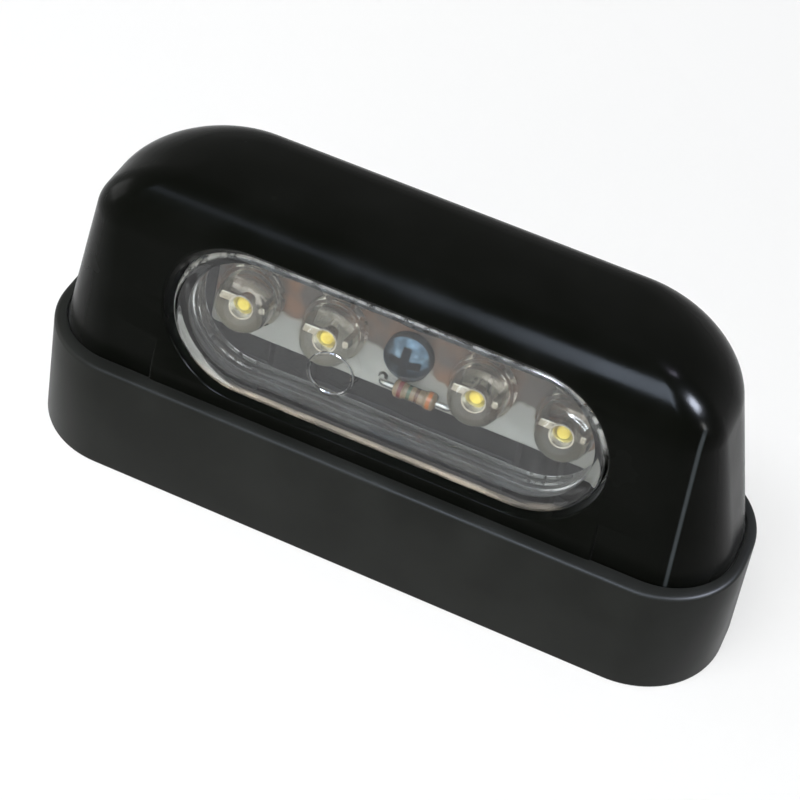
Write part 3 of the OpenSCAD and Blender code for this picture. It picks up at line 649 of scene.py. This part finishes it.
# Seal. A thin bead of translucent grey silicone between the lens flange and its seat in
# the cover, dark because the black cover shows through it.
def plain(name, colour, rough, metallic=0.0, bump=2e-6, second=None):
    """A small opaque piece: its colour drifts a little to a second one, over a fine texture."""
    spread, grain_mm = 0.06, 2 / 3
    material, tree, output = new_material(name)
    place = add(tree, "ShaderNodeTexCoord").outputs["Object"]
    fine = add(tree, "ShaderNodeTexNoise", {"Vector": place, "Scale": 1000 / grain_mm,
                                            "Detail": 3.0})
    drift = add(tree, "ShaderNodeMapRange", {"Value": fine.outputs[0], 1: 0.35, 2: 0.7})
    tint = add(tree, "ShaderNodeMix", {0: drift.outputs[0], 6: linear(colour),
                                       7: linear(second or colour)}, data_type="RGBA")
    wear_and_sheen_gaps = add(tree, "ShaderNodeMapRange", {"Value": fine.outputs[0], 3: rough - spread,
                                            4: rough + spread})
    relief = add(tree, "ShaderNodeBump", {"Height": fine.outputs[0], "Strength": 1.0,
                                          "Distance": bump})
    body = add(tree, "ShaderNodeBsdfPrincipled", {
        "Base Color": tint.outputs[2], "Metallic": metallic, "Roughness": wear_and_sheen_gaps.outputs[0],
        "Normal": relief.outputs[0]})
    tree.links.new(body.outputs[0], output.inputs["Surface"])
    return material


silicone = plain("translucent_grey_silicone", "#1c1e1c", 0.4, second="#262826")
flange_front = -lens_depth + flange_t
seal = oblong("seal", [(lens_b + lens_gap, flange_front), (outer, flange_front),
                       (outer, seat_w), (lens_b + lens_gap, seat_w)], ends="joined")
put(seal, silicone, "lens_seal")

# Circuit board. A tan glass-fibre board under clear solder resist; the lighter strip along
# its lower edge is painted light. One screw holds it, and the lamps' leads go through its holes.
inner_x, outer_x, lead_pitch, lead_hole_r = 6.825, 14.625, 2.54, 0.45
led_x = (-outer_x, -inner_x, inner_x, outer_x)
resistor_x, resistor_v, resistor_r, resistor_l = 1.4, row_v - 3.1, 0.8, 4.0
axial_r, axial_free = 0.3, 1.3


def board_rows(edge=0.12):
    """Rings of the board: a rounded rectangle with slightly broken edges."""
    rows = []
    for inset, w in ((edge, 0), (0, edge), (0, board_t - edge), (edge, board_t)):
        outline = rounded(board_a - inset, row_v - board_b / 2 + inset,
                          row_v + board_b / 2 - inset, 0.5 - inset, steps=6)
        rows.append(np.column_stack([outline, np.full(len(outline), w - board_depth - board_t)]))
    return on_lens(np.array(rows))


lead_places = [(x + k * lead_pitch / 2, row_v) for x in led_x for k in (-1, 1)]
wire_places = [(resistor_x + k * (resistor_l / 2 + axial_free), resistor_v) for k in (-1, 1)]
face_w = -board_depth
hole_w = (behind_board - through, face_w + 0.9)
board = skin("board", board_rows())
board = shaped(board, cut=[peg("hole", x, v, lead_hole_r, *hole_w)
                           for x, v in lead_places + wire_places]
               + [peg("screw_hole", 0, row_v, board_screw_r + 0.1, *hole_w)])
# Lacquered laminate: a smooth skin over brown resin in which the cloth shows as a faint
# wave. A wave texture repeats after 0.314 of its scale's length.
weave_mm, patch_mm, strip_top, strip_fade, strip_ragged = 0.98125, 1 / 0.33, 19.8, 20.3, 6.0
resist, tree, output = new_material("solder_resist_on_glass_fibre_board")
place = add(tree, "ShaderNodeTexCoord").outputs["Object"]
weave = add(tree, "ShaderNodeTexWave", {"Vector": place, "Scale": 314 / weave_mm,
                                        "Distortion": 2.0, "Detail": 2.0})
patches = add(tree, "ShaderNodeTexNoise", {"Vector": place, "Scale": 1000 / patch_mm,
                                           "Detail": 2.0})
where = add(tree, "ShaderNodeMapRange", {"Value": patches.outputs[0], 1: 0.42, 2: 0.6})
laminate = add(tree, "ShaderNodeMix", {0: where.outputs[0], 6: linear("#473d32"),
                                       7: linear("#6b4a30")}, data_type="RGBA")
height = add(tree, "ShaderNodeSeparateXYZ", {0: place}).outputs[2]
ragged = add(tree, "ShaderNodeMath", {0: patches.outputs[0], 1: strip_ragged * 1e-3,
                                      2: height},
             operation="MULTIPLY_ADD")
# Painted light: below strip_top the board turns light grey, standing in for the light through the
# lens.
painted_lit_strip = add(tree, "ShaderNodeMapRange", {"Value": ragged.outputs[0], 1: strip_top * 1e-3,
                                           2: strip_fade * 1e-3, 3: 1.0, 4: 0.0})
tint = add(tree, "ShaderNodeMix", {0: painted_lit_strip.outputs[0], 6: laminate.outputs[2],
                                   7: linear("#8b867a")}, data_type="RGBA")
relief = add(tree, "ShaderNodeBump", {"Height": weave.outputs[1], "Strength": 0.6,
                                      "Distance": 5e-6})
face = add(tree, "ShaderNodeBsdfPrincipled", {"Base Color": tint.outputs[2], "Roughness": 0.4,
                                              "Normal": relief.outputs[0]})
tree.links.new(face.outputs[0], output.inputs["Surface"])
put(board, resist, "circuit_board")

# Lamps. Four short clear round lamps of cast epoxy, each with a flange against the board.
# Inside, a tinned frame carries the yellow chip in a small cup, with a post beside it.
dome_r, led_flange_r, led_flange_t, led_straight = 2.5, 2.9, 0.9, 1.0
cup_r, chip_r, cup_rim, cup_floor, post_h = 0.8, 0.38, 2.4, 1.92, 2.16
lead, rim = 0.5, 0.12
# Cast epoxy is clear with a warm cast and bends what lies in it. The stamped and tinned
# frame shines softly, and the phosphor over the chip is a dull strong yellow.
epoxy = clear_moulding("clear_cast_epoxy", "#faf1e2", "#f4f3ee", 1.53, 0.0, 1.5, 1.5e-6)
tinned = plain("bright_tinned_frame", "#d8d8d2", 0.22, metallic=1.0, second="#c6c2b4")
phosphor = plain("yellow_phosphor", "#f2dc5a", 0.5, second="#e6c83c", bump=6e-6)
for number, x in enumerate(led_x, 1):
    body = turned(f"lamp_{number}", x, row_v,
                  [(0, face_w), (led_flange_r - rim, face_w)]
                  + arc((led_flange_r - rim, face_w + rim), rim, -90, 0, 4)
                  + arc((led_flange_r - rim, face_w + led_flange_t - rim), rim, 0, 90, 4)
                  + arc((dome_r + rim, face_w + led_flange_t + rim), rim, 270, 180, 4)
                  + arc((0, face_w + led_flange_t + led_straight), dome_r, 0, 90, 20),
                  ends="open")
    put(body, epoxy, f"led_body_{number}")
    seat = face_w + cup_floor
    cup = turned(f"cup_{number}", x, row_v,
                 [(0, seat - lead), (chip_r, seat - lead), (cup_r, face_w + cup_rim),
                  (0.88 * cup_r, face_w + cup_rim), (chip_r, seat), (0, seat)],
                 steps=40, ends="open")
    post = bar(f"post_{number}", x + (lead_pitch - lead) / 2, row_v - lead / 2, face_w - board_t,
               (lead, lead, board_t + post_h))
    wide = bar(f"lead_{number}", x - (lead_pitch + lead) / 2, row_v - lead / 2, face_w - board_t,
               (lead, lead, board_t + cup_floor))
    arm = bar(f"arm_{number}", x - (lead_pitch + lead) / 2, row_v - lead / 2, seat - lead / 2,
              ((lead_pitch + lead) / 2, lead, lead / 2), 0.04)
    metal = shaped(cup, joined=(wide, arm, post))
    metal.name = f"lamp_frame_{number}"
    put(metal, tinned, f"led_leads_{number}")
    chip = turned(f"chip_{number}", x, row_v,
                  [(0, seat), (chip_r, seat), (chip_r, seat + 0.16), (0.28, seat + 0.23),
                   (0, seat + 0.24)], steps=32, ends="open")
    put(chip, phosphor, f"led_chip_{number}")

# Board screw. A zinc-plated pan-head screw with a cross recess, with the pale blue cast
# of its passivation, which holds the board to the post behind it.
def broken(piece, width, sharp):
    """Breaks all sharp edges of a closed piece with a small round of that width in mm."""
    step = piece.modifiers.new("edges", "BEVEL")
    step.width, step.segments, step.limit_method = width * 0.001, 3, "ANGLE"
    step.angle_limit = math.radians(35)
    return shaped(piece, sharp=sharp)


zinc = plain("blue_passivated_zinc", "#33475a", 0.24, metallic=1.0, second="#5d7386",
             bump=3e-6)
head_r = 2.2
cap_r, cap_w = 1.5 * head_r, face_w - 0.75 * head_r
low_turn = math.degrees(math.acos(head_r * 0.97 / cap_r))
screw = turned("screw", 0, row_v, [(0, face_w - board_t - board_screw_l),
                                   (board_screw_r, face_w - board_t - board_screw_l),
                                   (board_screw_r, face_w), (head_r * 0.96, face_w),
                                   (head_r, face_w + 0.1)]
               + arc((0, cap_w), cap_r, low_turn, 90, 16), ends="open", sharp=40)
slot_w, slot_l, deep = 0.36 * head_r, 1.32 * head_r, face_w + 0.28 * head_r
screw = shaped(screw, cut=(
    bar("slot_one", -slot_l / 2, row_v - slot_w / 2, deep, (slot_l, slot_w, 2.0)),
    bar("slot_two", -slot_w / 2, row_v - slot_l / 2, deep, (slot_w, slot_l, 2.0))))
# The head's zinc is brighter, and painted shade makes it dark where it lies deeper than the dome,
# in the recess.
full_shade_below, no_shade_above = 0.35, 0.12
shaded_zinc_head = plain("zinc_head_with_painted_recess_shade", "#4a6274", 0.2, metallic=1.0, second="#7d95a5",
                  bump=3e-6)
tree = shaded_zinc_head.node_tree
middle = tuple(float(c) for c in on_lens([0, row_v, cap_w]) * 0.001)
reach = add(tree, "ShaderNodeVectorMath", {0: add(tree, "ShaderNodeTexCoord").outputs["Object"],
                                           1: middle}, operation="DISTANCE")
# Painted shade: the head turns near black in its cross recess.
recess_shade = add(tree, "ShaderNodeMapRange", {"Value": reach.outputs["Value"],
                                          1: (cap_r - full_shade_below) * 1e-3,
                                          2: (cap_r - no_shade_above) * 1e-3})
body = tree.nodes["Principled BSDF"]
tint = add(tree, "ShaderNodeMix", {0: recess_shade.outputs[0], 6: linear("#0e1a24"),
                                   7: body.inputs["Base Color"].links[0].from_socket},
           data_type="RGBA")
tree.links.new(tint.outputs[2], body.inputs["Base Color"])
put(broken(screw, 0.09, 50), shaded_zinc_head, "board_screw")

# Resistor. A small lacquered resistor with colour rings, its two tinned wires bent back
# through the board below the screw. The shares are of its half length and of its radius.
wire_w = face_w + resistor_r
cap_from, cap_rise, end_from, waist, tip = 0.42, 0.14, 0.8, 0.82, 0.35


def resistor_grid():
    """Turned about x: thicker caps at both ends, a slight waist between them."""
    along = np.linspace(-1, 1, 61)
    half = resistor_l / 2
    cap = np.clip((np.abs(along) - cap_from) / cap_rise, 0, 1)
    past_end = np.clip(np.abs(along) - end_from, 0, 1) / (1 - end_from)
    end = np.sqrt(np.clip(1 - past_end ** 2, 0, 1))
    radius = resistor_r * (waist + (1 - waist) * cap * cap * (3 - 2 * cap))
    radius *= tip + (1 - tip) * end
    radius[[0, -1]] = 0
    turn = np.linspace(0, 2 * np.pi, 40, endpoint=False)
    return on_lens(np.stack([resistor_x + half * along[:, None] + 0 * turn,
                             resistor_v + radius[:, None] * np.cos(turn),
                             wire_w + radius[:, None] * np.sin(turn)], -1))


# Dipped lacquer: a shiny beige coat, with the painted rings under it.
lacquer, tree, output = new_material("ringed_beige_lacquer")
place = add(tree, "ShaderNodeTexCoord").outputs["Object"]
across = add(tree, "ShaderNodeSeparateXYZ", {0: place}).outputs[0]
along = add(tree, "ShaderNodeMapRange", {"Value": across, 1: (resistor_x - resistor_l / 2) * 1e-3,
                                         2: (resistor_x + resistor_l / 2) * 1e-3})
rings = add(tree, "ShaderNodeValToRGB", {"Fac": along.outputs[0]})
rings.color_ramp.interpolation = "CONSTANT"
lacquer_tan = "#6b583f"
stops = [(0, lacquer_tan), (0.14, "#571813"), (0.23, lacquer_tan), (0.34, "#37452f"),
         (0.42, lacquer_tan), (0.52, "#472812"), (0.60, lacquer_tan), (0.80, "#8a4a18"),
         (0.89, lacquer_tan)]
while len(rings.color_ramp.elements) < len(stops):
    rings.color_ramp.elements.new(0.5)
for element, (position, colour) in zip(rings.color_ramp.elements, stops):
    element.position, element.color = position, linear(colour)
gloss = add(tree, "ShaderNodeBsdfPrincipled", {"Base Color": rings.outputs[0], "Roughness": 0.22,
                                               "Coat Weight": 0.3})
tree.links.new(gloss.outputs[0], output.inputs["Surface"])
resistor = skin("resistor", resistor_grid(), ends="open")
put(resistor, lacquer, "resistor_body")


def wire_grid(k):
    """A round wire carried along a path: out of the body, round a bend, back to the board."""
    bend = 0.6
    start = resistor_x + k * (resistor_l / 2 - 0.2)
    stop = resistor_x + k * (resistor_l / 2 + axial_free)
    sweep = np.radians(np.linspace(0, 90, 9))
    x = np.concatenate([[start], stop - k * bend + k * bend * np.sin(sweep), [stop]])
    w = np.concatenate([[wire_w], wire_w - bend + bend * np.cos(sweep), [face_w - board_t]])
    facing = np.concatenate([[0], sweep, [np.pi / 2]])
    turn = np.linspace(0, 2 * np.pi, 20, endpoint=False)
    out = axial_r * np.cos(turn)
    return on_lens(np.stack([x[:, None] + k * np.sin(facing)[:, None] * out,
                             resistor_v + axial_r * np.sin(turn) + 0 * x[:, None],
                             w[:, None] + np.cos(facing)[:, None] * out], -1))


wires = shaped(skin("resistor_wires", wire_grid(-1)), joined=(skin("wire", wire_grid(1)),))
put(wires, tinned, "resistor_leads")

# Pieces behind the board and under the cover, kept as they come from the frame: diode,
# solder, tags, back plate with its seal and screws, threaded inserts and grommet. Moulded
# epoxy and rubber are dull, solder and turned brass bright, and the plate is matt.
black_epoxy = plain("black_moulded_epoxy", "#161616", 0.45)
solder = plain("bright_solder", "#c9c9c6", 0.2, metallic=1.0)
matt_black = plain("matt_black_polypropylene", "#242524", 0.55, second="#2c2d2b")
brass = plain("turned_brass", "#c8a050", 0.3, metallic=1.0, second="#b98f42")
rubber = plain("black_rubber", "#131313", 0.7, second="#1b1b1a", bump=8e-6)
for name, material in {"diode_body": black_epoxy, "diode_leads": tinned,
                       "solder_joints": solder, "wire_terminals": tinned,
                       "back_plate": matt_black, "back_plate_seal": silicone,
                       "plate_screws": zinc, "threaded_inserts": brass,
                       "cable_grommet": rubber}.items():
    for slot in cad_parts[name].material_slots:
        slot.material = material
